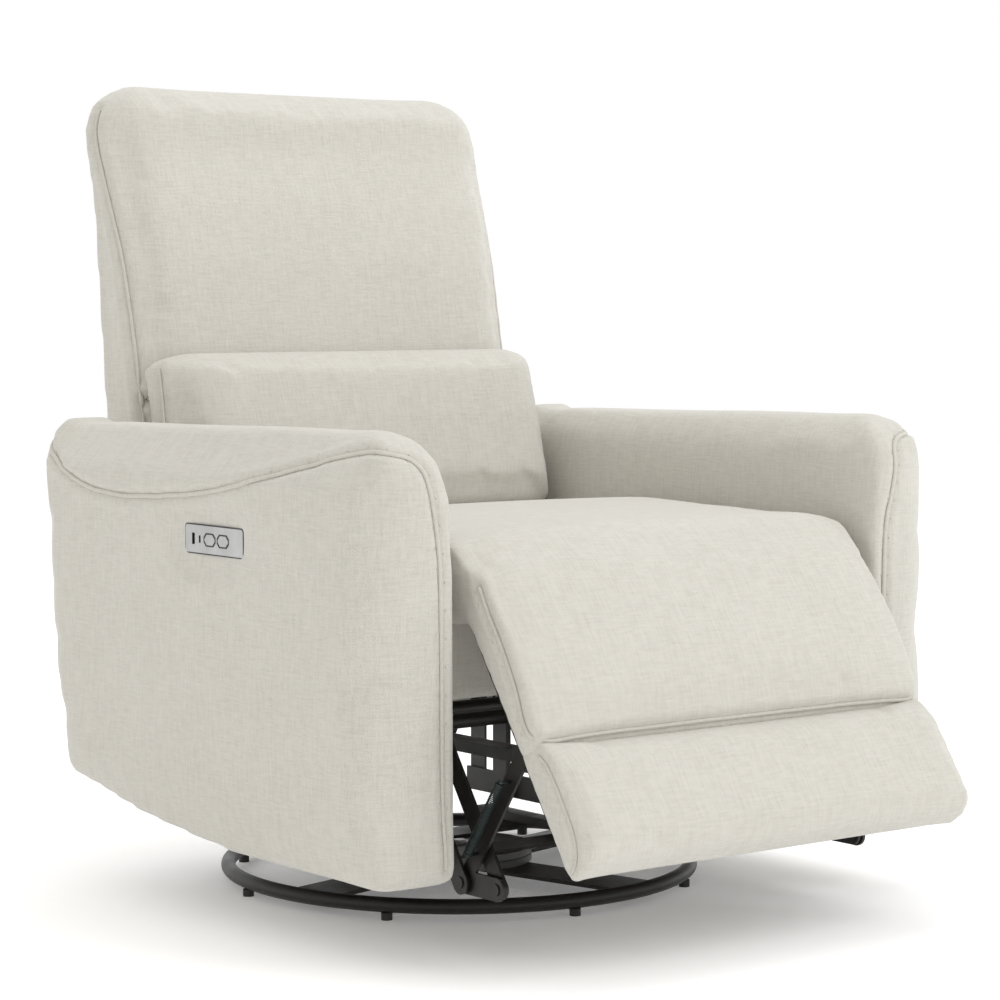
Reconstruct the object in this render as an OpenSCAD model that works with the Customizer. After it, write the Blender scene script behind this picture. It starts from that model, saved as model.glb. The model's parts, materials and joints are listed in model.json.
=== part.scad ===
// Power glider recliner for a nursery, in millimetres.
// +Z is up, the chair faces -Y, and right and left are those of the person who sits in it (right is -X).
// Every piece is drawn about the swivel axis, then placed() moves it so that the origin lies
// on the floor under the middle of the whole chair.

/* [Overall] */
// Height of the top of the backrest above the floor
chair_h = 1050; // [1030:5:1060]
// Distance from the origin back to the swivel axis
swivel_y = 98; // [92:1:104]

/* [Base] */
// Radius of the base ring, to the middle of its tube
ring_r = 303; // [290:1:310]
// Radius of the ring's round tube
ring_tube_r = 9.5; // [8:0.5:10]
// Height of the feet under the ring
foot_h = 10; // [8:0.5:12]
// Number of feet round the ring
foot_count = 8; // [6:2:12]
// Turn of the base about the swivel axis, in degrees
base_turn = 13.3; // [0:0.1:45]
// Width of the two crossed base bars
base_bar_w = 70; // [50:1:80]

/* [Glide] */
// Distance between the two pivots of a glide hanger
hanger_len = 125; // [110:1:130]
// Height of the hangers' upper pivots
hanger_top_z = 208; // [204:1:210]
// Distance of the hangers before and behind the swivel axis
hanger_y = 130; // [120:1:135]

/* [Seat] */
// Half width of the seat cushion and the legrest pads
seat_half_w = 304; // [290:1:306]
// Height of the top of the seat cushion
seat_top_z = 492; // [480:1:496]
// Distance of the seat cushion's rear end behind the swivel axis
seat_rear_y = 212; // [200:1:214]

/* [Arms] */
// Distance of each arm's inner face from the middle of the chair
arm_in_x = 328; // [324:1:334]
// Distance of each arm's outer face from the middle of the chair
arm_out_x = 446; // [440:1:450]
// Height of the arms
arm_top_z = 619; // [600:1:625]
// Distance of the arms' front before the swivel axis
arm_front_y = 442; // [430:1:448]

/* [Legrest] */
// Angle of the legrest from straight down, as the chair stands
legrest_lean = 34; // [34:1:36]
// Length of the legrest from its hinge to its lower edge
legrest_len = 385; // [370:1:390]
// Distance from the hinge to the seam between the two pads
legrest_seam = 231; // [220:1:240]
// Distance between the two pivots of each parallel link
link_len = 220; // [215:1:222]

/* [Backrest] */
// Half width of the backrest
back_half_w = 318; // [300:1:320]
// Radius of the backrest's upper corners
back_corner_r = 84; // [60:1:100]

/* [Controls] */
// Length of the control plate on the right arm
plate_len = 128; // [110:1:140]
// Height of the control plate
plate_h = 36; // [30:1:38]

/* [Hidden] */
$fn = 48;
gap = 0.3;
running = 0.06;
waist = 0.3;

// Heights of the stack on the swivel axis
ring_z = foot_h + ring_tube_r - 1;
bar_t = 5;
bar_z = ring_z - bar_t / 2;
race_r = 95;
race_z = bar_z + bar_t;
ball_r = 4;
ball_ring_r = 80;
race_t = 9;
ball_z = race_z + race_t + 0.5;
upper_race_z = ball_z + 0.5;
frame_z = upper_race_z + race_t;

// Glider: uprights, hangers and chassis rails lie side by side, each in its own plane
upright_x = 168;
hanger_x = 174;
chassis_x = 180;
strap_t = 4;
hanger_low_z = hanger_top_z - hanger_len;
riser_ends_y = [-176, 206];
front_tube_y = -170;
rear_tube_y = 200;
cross_tube_z = 235;
cross_tube_r = 11;

// Mechanism: planes of the plates, from the inside out
inner_x = 278;
plate_x = 284;
outer_x = 290;
pin_r = 4;
spring_out_x = 302;
spring_from = 40;
spring_to = 152;
hinge_y = -375;
hinge_z = 430;
shaft_y = hinge_y + 110;
shaft_z = hinge_z - 163;
shaft_r = 8;
front_pivot_y = shaft_y - 60;
recline_y = 255;
recline_z = 335;
link_dy = -link_len * sin(legrest_lean);
link_dz = -link_len * cos(legrest_lean);
knee_y = shaft_y + link_dy;
knee_z = shaft_z + link_dz;

// Drive: the carriage's fork pushes a crank on the torque tube
crank_r = 65;
crank_rest = 9;
crank_pin_y = shaft_y + crank_r * sin(crank_rest);
crank_pin_z = shaft_z - crank_r * cos(crank_rest);
rail_z = 174;
rail_half_w = 15;
rail_half_h = 8;
housing_y = [120, 192];

// Seat box
seat_rail_z = 290;
seat_rail_h = 60;
rail_x = 250;
rail_w = 20;
front_rail_y = -355;
roll_r = 52;
cushion_half_w = seat_half_w + 10;

// Control plate on the outer face of the right arm
plate_y = -110;
plate_z = 470;
plate_x_out = arm_out_x + 2.5;
button_y = [-101, -130];
button_half = [11.4, 6.6];
button_corner = 5;
ring_w = 1.4;
socket_y = [-65, -79];
socket_half = [[3.1, 6.9], [1.9, 4.4]];

// Control box, motor and drive, in the seat's own frame
control_box_at = [-rail_x + gap, 30, 262];
control_box_size = [56, 96, 27];
housing_half_w = 30;
housing_floor = 150;
housing_top = 202;
lug_t = 6;
lug_r = 16;
motor_y = 156;
motor_z = 176;
motor_r = 22;
motor_end = 100;
rail_front_y = -252;
slide_fit = 0.5;
carriage_half = [24, 16];
carriage_y = [-195, -143];
fork_half = 13;
fork_x = [-12, 6];
fork_t = 6;

// Backrest sheets, measured forward from its rear surface
shell_t = 14;
back_frame_t = 20;

module placed() {
    translate([0, swivel_y, 0]) children();
}

module both_sides() {
    children();
    mirror([1, 0, 0]) children();
}

module both_sides_2d() {
    children();
    mirror([1, 0]) children();
}

// Points on an arc round a centre, from one angle to another
function arc(c, r, from, to, steps = 6) =
    [for (i = [0:steps]) c + r * [cos(from + (to - from) * i / steps), sin(from + (to - from) * i / steps)]];

// A 2-D outline in Y and Z, made solid from x0 to x1
module across(x0, x1) {
    translate([x0, 0, 0]) rotate([90, 0, 90]) linear_extrude(x1 - x0) children();
}

// A 2-D outline in X and Z, made solid from y0 to y1
module along(y0, y1) {
    translate([0, y1, 0]) rotate([90, 0, 0]) linear_extrude(y1 - y0) children();
}

// A round bar along X
module rod(x0, x1, y, z, r) {
    translate([x0, y, z]) rotate([0, 90, 0]) cylinder(h = x1 - x0, r = r);
}

// A riveted pin along X with a head at both ends
module rivet(x0, x1, y, z) {
    rod(x0 - 1.5, x1 + 1.5, y, z, pin_r);
    rod(x0 - 1.5, x0 - gap, y, z, 7);
    rod(x1 + gap, x1 + 1.5, y, z, 7);
}

// A flat steel link in Y and Z, whose round ends are just wider than its shank
module link_2d(a, b, w) {
    d = b - a;
    translate(a) circle(w / 2);
    translate(b) circle(w / 2);
    translate(a) rotate(atan2(d.y, d.x)) translate([0, waist - w / 2]) square([norm(d), w - 2 * waist]);
}

module hole_2d(p, r) {
    translate(p) circle(r);
}

// Legrest outlines are drawn in u, down its length, and w, out towards its face
module on_legrest() {
    translate([hinge_y, hinge_z]) rotate(-90 - legrest_lean) mirror([0, 1]) children();
}

function legrest_point(u, w) = [
    hinge_y - u * sin(legrest_lean) - w * cos(legrest_lean),
    hinge_z - u * cos(legrest_lean) + w * sin(legrest_lean)
];

hinge_p = [hinge_y, hinge_z];
shaft_p = [shaft_y, shaft_z];
front_p = [front_pivot_y, shaft_z];
recline_p = [recline_y, recline_z];
knee_p = [knee_y, knee_z];
front_knee_p = [knee_y - 60, knee_z];
top_p = legrest_point(link_len, 0);

// ---- Base ----

module base_ring() {
    placed() color("#1b1a19") translate([0, 0, ring_z]) rotate_extrude($fn = 96) translate([ring_r, 0])
        circle(ring_tube_r);
}

module base_cross() {
    placed() color("#1b1a19") difference() {
        translate([0, 0, bar_z]) intersection() {
            rotate(base_turn) union() {
                cube([base_bar_w, 3 * ring_r, 2 * bar_t], center = true);
                cube([3 * ring_r, base_bar_w, 2 * bar_t], center = true);
            }
            cylinder(h = bar_t, r = ring_r - ring_tube_r - 0.1, $fn = 96);
        }
        translate([0, 0, bar_z - 1]) cylinder(h = bar_t + 2, r = 8 + running);
    }
}

module base_feet() {
    placed() color("#141414") for (i = [0:foot_count - 1]) {
        rotate(base_turn + 180 / foot_count + i * 360 / foot_count) translate([ring_r, 0, 0]) {
            cylinder(h = foot_h - 1, r = 7);
            cylinder(h = foot_h + 5, r = 3);
        }
    }
}

module swivel_lower_race() {
    placed() color("#2a2a2a") translate([0, 0, race_z]) rotate_extrude($fn = 96) difference() {
        translate([8 + running, 0]) square([race_r - 8 - running, race_t]);
        translate([ball_ring_r, race_t + 0.5]) circle(ball_r + running);
    }
}

module swivel_balls() {
    placed() color("#9a9a9a") for (i = [0:15]) {
        rotate(i * 22.5) translate([ball_ring_r, 0, ball_z]) sphere(ball_r);
    }
}

module swivel_bolt() {
    placed() color("#3a3a3a") {
        translate([0, 0, bar_z - 6]) cylinder(h = 6 - gap, r = 13, $fn = 6);
        translate([0, 0, bar_z - 6]) cylinder(h = frame_z + 12 - bar_z, r = 8);
        translate([0, 0, frame_z - 2 + gap]) cylinder(h = 6, r = 13, $fn = 6);
    }
}

// ---- Turntable ----

module swivel_upper_race() {
    placed() color("#2a2a2a") difference() {
        translate([0, 0, upper_race_z]) rotate_extrude($fn = 96) difference() {
            translate([8 + running, 0]) square([race_r - 8 - running, race_t]);
            translate([ball_ring_r, -0.5]) circle(ball_r + running);
        }
        translate([0, 0, upper_race_z + race_t - 2]) cylinder(h = 3, r = 14);
    }
}

module glider_cross_bars() {
    placed() color("#1f1e1d") for (y = [-60, 60]) {
        translate([-upright_x, y - 25, frame_z]) cube([2 * upright_x, 50, strap_t]);
    }
}

module glider_side_rails() {
    placed() color("#1f1e1d") both_sides() {
        translate([upright_x - 24, -150, frame_z + strap_t]) cube([24, 300, 12]);
    }
}

module upright_outline(y) {
    difference() {
        link_2d([y, frame_z + strap_t + 15], [y, hanger_top_z], 30);
        hole_2d([y, hanger_top_z], pin_r);
    }
}

module glider_uprights() {
    placed() color("#1f1e1d") both_sides() for (y = [-hanger_y, hanger_y]) {
        across(upright_x, upright_x + strap_t) upright_outline(y);
    }
}

module hanger_top_pins() {
    placed() color("#6d6d6d") both_sides() for (y = [-hanger_y, hanger_y]) {
        rivet(upright_x, hanger_x + strap_t, y, hanger_top_z);
    }
}

// ---- Glide hangers ----

module hanger_pair(y) {
    both_sides() across(hanger_x, hanger_x + strap_t) difference() {
        link_2d([y, hanger_top_z], [y, hanger_low_z], 26);
        hole_2d([y, hanger_top_z], pin_r + running);
        hole_2d([y, hanger_low_z], pin_r + running);
    }
}

module front_hangers() {
    placed() color("#262524") hanger_pair(-hanger_y);
}

module rear_hangers() {
    placed() color("#262524") hanger_pair(hanger_y);
}

// ---- Seat chassis ----

module chassis_rails() {
    placed() color("#1f1e1d") both_sides() across(chassis_x, chassis_x + strap_t) difference() {
        translate([riser_ends_y[0] - 14, hanger_low_z - 16])
            square([riser_ends_y[1] - riser_ends_y[0] + 28, 32]);
        for (y = [-hanger_y, hanger_y]) hole_2d([y, hanger_low_z], pin_r);
    }
}

module hanger_low_pins() {
    placed() color("#6d6d6d") both_sides() for (y = [-hanger_y, hanger_y]) {
        rivet(hanger_x, chassis_x + strap_t, y, hanger_low_z);
    }
}

module riser_outline(y) {
    difference() {
        link_2d([y, hanger_low_z], [y, cross_tube_z], 32);
        hole_2d([y, cross_tube_z], cross_tube_r + 0.1);
    }
}

module chassis_risers() {
    placed() color("#1f1e1d") both_sides() {
        for (y = [front_tube_y, rear_tube_y]) {
            across(chassis_x + strap_t, chassis_x + 2 * strap_t) riser_outline(y);
        }
    }
}

module cross_tube(y) {
    rotate([0, 90, 0]) translate([-cross_tube_z, y, -plate_x]) difference() {
        cylinder(h = 2 * plate_x, r = cross_tube_r);
        translate([0, 0, -1]) cylinder(h = 2 * plate_x + 2, r = cross_tube_r - 1.5);
    }
}

module front_cross_tube() {
    placed() color("#1f1e1d") cross_tube(front_tube_y);
}

module rear_cross_tube() {
    placed() color("#1f1e1d") cross_tube(rear_tube_y);
}

module mechanism_plate() {
    low = cross_tube_z - 22;
    across(plate_x, plate_x + strap_t) difference() {
        union() {
            polygon([
                [front_p.x, front_p.y - 14], [shaft_y, low], [rear_tube_y + 18, low],
                [recline_y + 16, recline_z - 20], [recline_y + 16, recline_z], [recline_y - 16, recline_z],
                [recline_y - 40, 310], [-296, 310], [front_p.x, front_p.y + 14]
            ]);
            translate(front_p) circle(14);
            translate(recline_p) circle(16);
        }
        hole_2d(shaft_p, shaft_r + running);
        hole_2d(front_p, pin_r);
        hole_2d(recline_p, 6);
    }
}

module right_mechanism_plate() {
    placed() color("#1f1e1d") mirror([1, 0, 0]) mechanism_plate();
}

module left_mechanism_plate() {
    placed() color("#1f1e1d") mechanism_plate();
}

module mechanism_pins() {
    placed() color("#6d6d6d") both_sides() {
        rivet(inner_x, plate_x + strap_t, front_p.x, front_p.y);
        rod(inner_x - 3, plate_x + strap_t + 3, recline_y, recline_z, 6);
        rod(inner_x - 3, inner_x - gap, recline_y, recline_z, 11);
        rod(plate_x + strap_t + gap, plate_x + strap_t + 3, recline_y, recline_z, 11);
        for (y = [-190, 40, 150]) {
            rod(rail_x + rail_w + gap, plate_x - gap, y, 300, 7);
            rod(plate_x + strap_t + gap, plate_x + strap_t + 4, y, 300, 8);
        }
    }
}

module legrest_hinge_plates() {
    placed() color("#1f1e1d") both_sides() {
        across(plate_x, plate_x + strap_t) {
            translate(hinge_p) circle(12);
            translate([hinge_y, hinge_z - 12]) square([front_rail_y - hinge_y - gap, 24]);
        }
        translate([plate_x, front_rail_y - 3, hinge_z - 12]) cube([26, 3 - gap, 24]);
        rivet(inner_x, plate_x + strap_t, hinge_y, hinge_z);
    }
}

module seat_side_rails() {
    placed() color("#c9a877") both_sides() {
        translate([rail_x, front_rail_y + 20 + gap, seat_rail_z]) cube([rail_w, 545, seat_rail_h]);
    }
}

module seat_end_rails() {
    placed() color("#c9a877") for (y = [front_rail_y + 20 + gap, 190]) {
        translate([-rail_x + gap, y, seat_rail_z]) cube([2 * rail_x - 2 * gap, 20, seat_rail_h]);
    }
}

module seat_front_rail() {
    placed() color("#cdc6b8") across(-arm_in_x + 1, arm_in_x - 1) polygon(concat(
        arc([front_rail_y + 9, seat_rail_z + 9], 9, 180, 270, 4),
        [[front_rail_y + 20, seat_rail_z], [front_rail_y + 20, 440], [front_rail_y, 440]]
    ));
}

// Flat sinuous springs, stretched between the seat box's end rails
module spring_band(x) {
    from_y = front_rail_y + 41;
    run = 189 - from_y;
    steps = 48;
    middle = [for (i = [0:steps]) [x + 18 * sin(i * 360 / 6), from_y + run * i / steps]];
    linear_extrude(3.2) polygon(concat(
        [for (p = middle) p + [2, 0]],
        [for (i = [steps:-1:0]) middle[i] - [2, 0]]
    ));
}

module seat_springs() {
    placed() color("#4b4b4b") translate([0, 0, 336]) for (x = [-180:90:180]) spring_band(x);
}

module seat_cushion() {
    top = seat_top_z;
    placed() color("#dcd8ce") intersection() {
        across(-cushion_half_w, cushion_half_w) polygon(concat(
            arc([seat_rear_y - 20, top - 40], 20, 0, 90, 4),
            [[60, top - 9], [-60, top], [-300, top - 4]],
            arc(hinge_p, roll_r, 90, 161, 8),
            [[front_rail_y + 24, hinge_z + 17], [front_rail_y + 24, 360], [seat_rear_y, 360]]
        ));
        along(-500, 300) polygon(concat(
            arc([cushion_half_w - 16, top - 16], 16, 0, 90, 4),
            arc([-cushion_half_w + 16, top - 16], 16, 90, 180, 4),
            [[-cushion_half_w, 300], [cushion_half_w, 300]]
        ));
    }
}

module arm_straps() {
    placed() color("#1f1e1d") both_sides() for (y = [-210, 110]) {
        translate([rail_x, y, seat_rail_z + seat_rail_h + gap])
            cube([arm_in_x - rail_x - gap, 40, strap_t]);
    }
}

// ---- Arms ----

function arm_side_points() = concat(
    [[-arm_front_y, 112]],
    arc([-arm_front_y + 24, 112], 24, 180, 262, 4),
    [[-250, 88], [-110, 89], [-30, 96], [60, 106], [150, 121], [240, 139], [262, 150]],
    [[284, 260], [297, 370], [310, 500]],
    arc([274, 567], 40, -4, 86, 6),
    [[200, arm_top_z - 9], [0, arm_top_z - 6], [-250, arm_top_z]],
    arc([-arm_front_y + 84, arm_top_z - 84], 84, 90, 172, 8)
);

function arm_front_points() = concat(
    [[arm_in_x + 8, 75]],
    [[arm_in_x, 110], [arm_in_x, 440], [arm_in_x + 6, 520], [arm_in_x + 12, 560]],
    arc([arm_in_x + 58, arm_top_z - 44], 44, 170, 60, 6),
    arc([arm_out_x - 36, arm_top_z - 82], 34, 50, 4, 5),
    [[arm_out_x, 470], [arm_out_x - 3, 330], [arm_out_x - 16, 180], [arm_out_x - 42, 75]]
);

function arm_plan_points() = concat(
    [[arm_in_x, 330], [arm_in_x, -arm_front_y + 26]],
    arc([arm_in_x + 24, -arm_front_y + 24], 24, 180, 270, 4),
    arc([arm_out_x - 72, -arm_front_y + 72], 72, 270, 360, 8),
    [[arm_out_x, 200]],
    arc([arm_out_x - 44, 270], 42, 0, 80, 5)
);

module arm_panel_body(slack) {
    translate([arm_in_x + 26 - slack, -400 - slack, 110 - slack])
        cube([18 + 2 * slack, 640 + 2 * slack, 430 + 2 * slack]);
}

module arm_body() {
    difference() {
        intersection() {
            across(arm_in_x - 5, arm_out_x + 5) polygon(arm_side_points());
            along(-500, 340) polygon(arm_front_points());
            translate([0, 0, 60]) linear_extrude(600) polygon(arm_plan_points());
        }
        arm_panel_body(gap);
        translate([arm_in_x + 26 - gap, -400 - gap, 60]) cube([18 + 2 * gap, 640 + 2 * gap, 100]);
    }
}

module right_arm() {
    placed() color("#dcd8ce") difference() {
        mirror([1, 0, 0]) arm_body();
        translate([-arm_out_x - 6, plate_y - plate_len / 2 + 4, plate_z - plate_h / 2 + 4])
            cube([28, plate_len - 8, plate_h - 8]);
    }
}

module left_arm() {
    placed() color("#dcd8ce") arm_body();
}

module right_arm_panel() {
    placed() color("#c9a877") mirror([1, 0, 0]) arm_panel_body(0);
}

module left_arm_panel() {
    placed() color("#c9a877") arm_panel_body(0);
}

module rear_panel() {
    placed() color("#d6d1c6") difference() {
        translate([-arm_in_x + 1, 268, 150]) cube([2 * arm_in_x - 2, 16, 88]);
        translate([-210, 260, 190]) rotate([-90, 0, 0]) cylinder(h = 40, r = 9);
    }
}

module rear_posts() {
    placed() color("#d6d1c6") both_sides() {
        translate([plate_x + 8, 262, 238 + gap]) cube([arm_in_x - plate_x - 9, 22, 120]);
    }
}

module power_inlet() {
    placed() color("#1a1a1a") translate([-210, 0, 190]) rotate([-90, 0, 0]) difference() {
        union() {
            translate([0, 0, 258]) cylinder(h = 28, r = 9 - running);
            translate([0, 0, 284 + gap]) cylinder(h = 1.7, r = 13);
        }
        translate([0, 0, 274]) cylinder(h = 20, r = 4);
    }
}

// ---- Controls ----

module rounded_plate(length, height, r, depth) {
    rotate([90, 0, 90]) linear_extrude(depth) polygon(concat(
        arc([length / 2 - r, height / 2 - r], r, 0, 90, 5),
        arc([-length / 2 + r, height / 2 - r], r, 90, 180, 5),
        arc([-length / 2 + r, -height / 2 + r], r, 180, 270, 5),
        arc([length / 2 - r, -height / 2 + r], r, 270, 360, 5)
    ));
}

module at_controls(y = plate_y) {
    placed() translate([-plate_x_out, y, plate_z]) children();
}

// An oblong with its four corners cut off, as wide as the button and `grow` larger all round
module octagon(depth, grow = 0) {
    w = button_half[0] + grow;
    h = button_half[1] + grow;
    c = button_corner;
    rotate([90, 0, 90]) linear_extrude(depth) polygon([
        [w - c, h], [c - w, h], [-w, h - c], [-w, c - h],
        [c - w, -h], [w - c, -h], [w, c - h], [w, h - c]
    ]);
}

module control_bezel() {
    color("#3b3b3c") at_controls() difference() {
        translate([0.4, 0, 0]) rounded_plate(plate_len, plate_h, 5, 2);
        translate([-1, 0, 0]) rounded_plate(plate_len - 2.4, plate_h - 2.4, 4, 5);
    }
}

module control_plate() {
    color("#a9abad") difference() {
        at_controls() union() {
            rounded_plate(plate_len - 3, plate_h - 3, 4, 2.4);
            translate([2.4, 0, 0]) rounded_plate(plate_len - 12, plate_h - 12, 2, 16);
        }
        for (y = button_y) at_controls(y) translate([-1, 0, 0]) octagon(18, ring_w + 0.1);
        for (i = [0, 1]) at_controls(socket_y[i]) translate([-1, 0, 0])
            socket_block(20, socket_half[i], 0.1);
    }
}

// A block as tall and wide as a socket, `grow` larger on each side
module socket_block(depth, half, grow = 0) {
    size = [depth, 2 * (half[0] + grow), 2 * (half[1] + grow)];
    translate([0, -half[0] - grow, -half[1] - grow]) cube(size);
}

// An upright socket: a thin shell with a tongue standing in it
module socket(half) {
    difference() {
        translate([0.2, 0, 0]) socket_block(16, half);
        translate([-1, 0, 0]) socket_block(14, half, -0.6);
    }
    translate([3, 0, 0]) socket_block(12, [0.5, half[1] - 1.6]);
}

module usb_ports() {
    color("#26282b") for (i = [0, 1]) at_controls(socket_y[i]) socket(socket_half[i]);
}

module button_rings() {
    color("#1c1c1e") for (y = button_y) at_controls(y) difference() {
        translate([-0.5, 0, 0]) octagon(3, ring_w);
        translate([-2, 0, 0]) octagon(6);
    }
}

module button(y) {
    at_controls(y) translate([-0.3, 0, 0]) octagon(8, -0.3);
}

module button_open() {
    color("#b4b6b8") button(button_y[0]);
}

module button_close() {
    color("#b4b6b8") button(button_y[1]);
}

module control_box() {
    placed() color("#202020") translate(control_box_at) cube(control_box_size);
}

// ---- Drive ----

module actuator_housing() {
    placed() color("#242424") difference() {
        union() {
            translate([-housing_half_w, housing_y[0], housing_floor])
                cube([2 * housing_half_w, housing_y[1] - housing_y[0], housing_top - housing_floor]);
            for (x = [-housing_half_w, housing_half_w - lug_t]) across(x, x + lug_t) union() {
                translate([rear_tube_y, cross_tube_z]) circle(lug_r);
                translate([rear_tube_y - lug_r, housing_top - 12])
                    square([2 * lug_r, cross_tube_z - housing_top + 12]);
            }
        }
        rod(-40, 40, rear_tube_y, cross_tube_z, cross_tube_r + 0.1);
    }
}

module actuator_motor() {
    placed() color("#303030") {
        rod(housing_half_w + gap, motor_end, motor_y, motor_z, motor_r);
        rod(motor_end, motor_end + 6, motor_y, motor_z, motor_r - 7);
    }
}

module actuator_rail() {
    placed() color("#8d8f91") translate([-rail_half_w, rail_front_y, rail_z - rail_half_h])
        cube([2 * rail_half_w, housing_y[0] - gap - rail_front_y, 2 * rail_half_h]);
}

module drive_carriage() {
    slide = [rail_half_w + slide_fit, rail_half_h + slide_fit];
    slot_half = pin_r + 2.8;
    placed() color("#1d1d1d") difference() {
        union() {
            translate([-carriage_half[0], carriage_y[0], rail_z - carriage_half[1]])
                cube([2 * carriage_half[0], carriage_y[1] - carriage_y[0], 2 * carriage_half[1]]);
            for (x = fork_x) translate([x, crank_pin_y - fork_half, rail_z + rail_half_h + 1.5]) {
                cube([fork_t, carriage_y[1] - crank_pin_y + fork_half, 22]);
                cube([fork_t, 2 * fork_half, 50]);
            }
        }
        translate([-slide[0], -300, rail_z - slide[1]]) cube([2 * slide[0], 300, 2 * slide[1]]);
        translate([-20, crank_pin_y - slot_half, crank_pin_z - 12]) cube([40, 2 * slot_half, 60]);
    }
}

module torque_tube() {
    placed() color("#262524") {
        rod(-outer_x - strap_t - 1, outer_x + strap_t + 1, shaft_y, shaft_z, shaft_r);
        across(-4, 4) link_2d(shaft_p, [crank_pin_y, crank_pin_z], 20);
        rod(-15, 15, crank_pin_y, crank_pin_z, pin_r);
    }
}

// ---- Parallel links ----

module lower_links() {
    placed() color("#1f1e1d") both_sides() {
        across(outer_x, outer_x + strap_t) difference() {
            union() {
                link_2d(shaft_p, knee_p, 28);
                translate(shaft_p) circle(17);
            }
            hole_2d(shaft_p, shaft_r + 0.02);
        }
        rivet(plate_x, outer_x + strap_t, knee_y, knee_z);
    }
}

module front_links() {
    placed() color("#1f1e1d") both_sides() {
        across(inner_x, inner_x + strap_t) difference() {
            link_2d(front_p, front_knee_p, 24);
            hole_2d(front_p, pin_r + running);
        }
        rivet(inner_x, plate_x + strap_t, front_knee_p.x, front_knee_p.y);
    }
}

module couplers() {
    placed() color("#1f1e1d") both_sides() across(plate_x, plate_x + strap_t) difference() {
        union() {
            link_2d(knee_p, top_p, 22);
            link_2d(knee_p, front_knee_p, 28);
        }
        hole_2d(knee_p, pin_r + running);
        hole_2d(front_knee_p, pin_r + 0.4);
        hole_2d(top_p, pin_r + 0.4);
    }
}

// A close-wound helper spring outside each coupler, as a plain cylinder between two posts
module legrest_spring() {
    d = top_p - knee_p;
    turn = atan2(d.y, d.x);
    post = [spring_out_x - plate_x - strap_t, 6];
    translate([spring_out_x, knee_y, knee_z]) rotate([turn, 0, 0]) rotate([-90, 0, 0]) {
        translate([0, 0, spring_from + post.y]) cylinder(h = spring_to - spring_from - post.y, r = 5.5);
        for (z = [spring_from, spring_to]) translate([0, 0, z]) {
            cylinder(h = post.y, r = 3);
            translate([-post.x + gap, -post.y / 2, 0]) cube([post.x - gap, post.y, post.y]);
        }
    }
}

module legrest_springs() {
    placed() color("#2c3a3a") both_sides() legrest_spring();
}

// ---- Legrest ----

module legrest_brackets() {
    placed() color("#1f1e1d") both_sides() {
        across(inner_x, inner_x + strap_t) difference() {
            union() {
                on_legrest() square([320, 12 - gap]);
                link_2d(hinge_p, legrest_point(305, 0), 24);
            }
            hole_2d(hinge_p, pin_r + running);
        }
        rivet(inner_x, plate_x + strap_t, top_p.x, top_p.y);
        tube_p = legrest_point(262, -2);
        rod(0, inner_x, tube_p.x, tube_p.y, 8);
    }
}

module legrest_board() {
    placed() color("#c9a877") across(-seat_half_w + 14, seat_half_w - 14) on_legrest()
        translate([62, 12]) square([legrest_len - 72, 12]);
}

module legrest_upper_pad() {
    placed() color("#dcd8ce") across(-seat_half_w, seat_half_w) on_legrest() polygon(concat(
        arc([0, 0], roll_r + 2, 27, 79, 6),
        [[11, 58.5], [40, 63], [80, 65], [133, 64.5]],
        [[185, 58], [legrest_seam - 10, 49], [legrest_seam - 1, 40], [legrest_seam - 1, 24.5]]
    ));
}

module legrest_lower_pad() {
    placed() color("#dcd8ce") across(-seat_half_w, seat_half_w) on_legrest() polygon(concat(
        [[legrest_seam + 1, 24.5], [legrest_seam + 1, 42], [legrest_seam + 12, 51]],
        [[legrest_seam + 35, 57.5], [legrest_len - 70, 59.5]],
        arc([legrest_len - 24, 35.5], 23.5, 84, 0, 6),
        [[legrest_len, 6], [legrest_len - 9.5, 6], [legrest_len - 9.5, 24.5]]
    ));
}

// ---- Backrest ----

function back_rear_points() = [[347, 372], [372, 600], [398, 880], [424, 1000]];

module back_outline() {
    polygon(concat(
        arc([back_half_w - back_corner_r, chair_h - back_corner_r], back_corner_r, 0, 90, 8),
        arc([-back_half_w + back_corner_r, chair_h - back_corner_r], back_corner_r, 90, 180, 8),
        [[-back_half_w + 4, 200], [back_half_w - 4, 200]]
    ));
}

function shift(points, dy) = [for (p = points) p + [dy, 0]];

function reversed(points) = [for (i = [len(points) - 1:-1:0]) points[i]];

module back_shell() {
    rear = back_rear_points();
    placed() color("#d6d1c6") intersection() {
        across(-back_half_w, back_half_w) polygon(concat(
            rear,
            [[434, 1030], [422, 1034]],
            reversed(shift(rear, -shell_t)),
            arc(recline_p, 82.5, 24, -66, 8),
            arc(recline_p, 93.5, -66, 18, 8)
        ));
        along(150, 600) difference() {
            back_outline();
            both_sides_2d() translate([inner_x - 4, 200]) square([60, recline_z - 200 + 28]);
        }
    }
}

module back_frame() {
    rear = shift(back_rear_points(), -shell_t - gap);
    front = shift(back_rear_points(), -shell_t - back_frame_t + gap);
    placed() color("#c9a877") intersection() {
        across(-back_half_w + 42, back_half_w - 42) polygon(concat(
            [rear[0] + [1.5, 14], rear[1], rear[2], rear[2] + [11, 50]],
            reversed([front[0] + [1.5, 14], front[1], front[2], front[2] + [11, 50]])
        ));
        along(150, 600) for (x = [-back_half_w + 42, back_half_w - 82]) {
            translate([x, 300]) square([40, 700]);
        }
    }
}

module back_brackets() {
    placed() color("#1f1e1d") both_sides() across(inner_x, inner_x + strap_t) difference() {
        union() {
            translate(recline_p) circle(16);
            link_2d(recline_p, [329, 430], 18);
            link_2d([329, 430], [343, 560], 16);
        }
        hole_2d(recline_p, 6 + running);
    }
}

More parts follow.
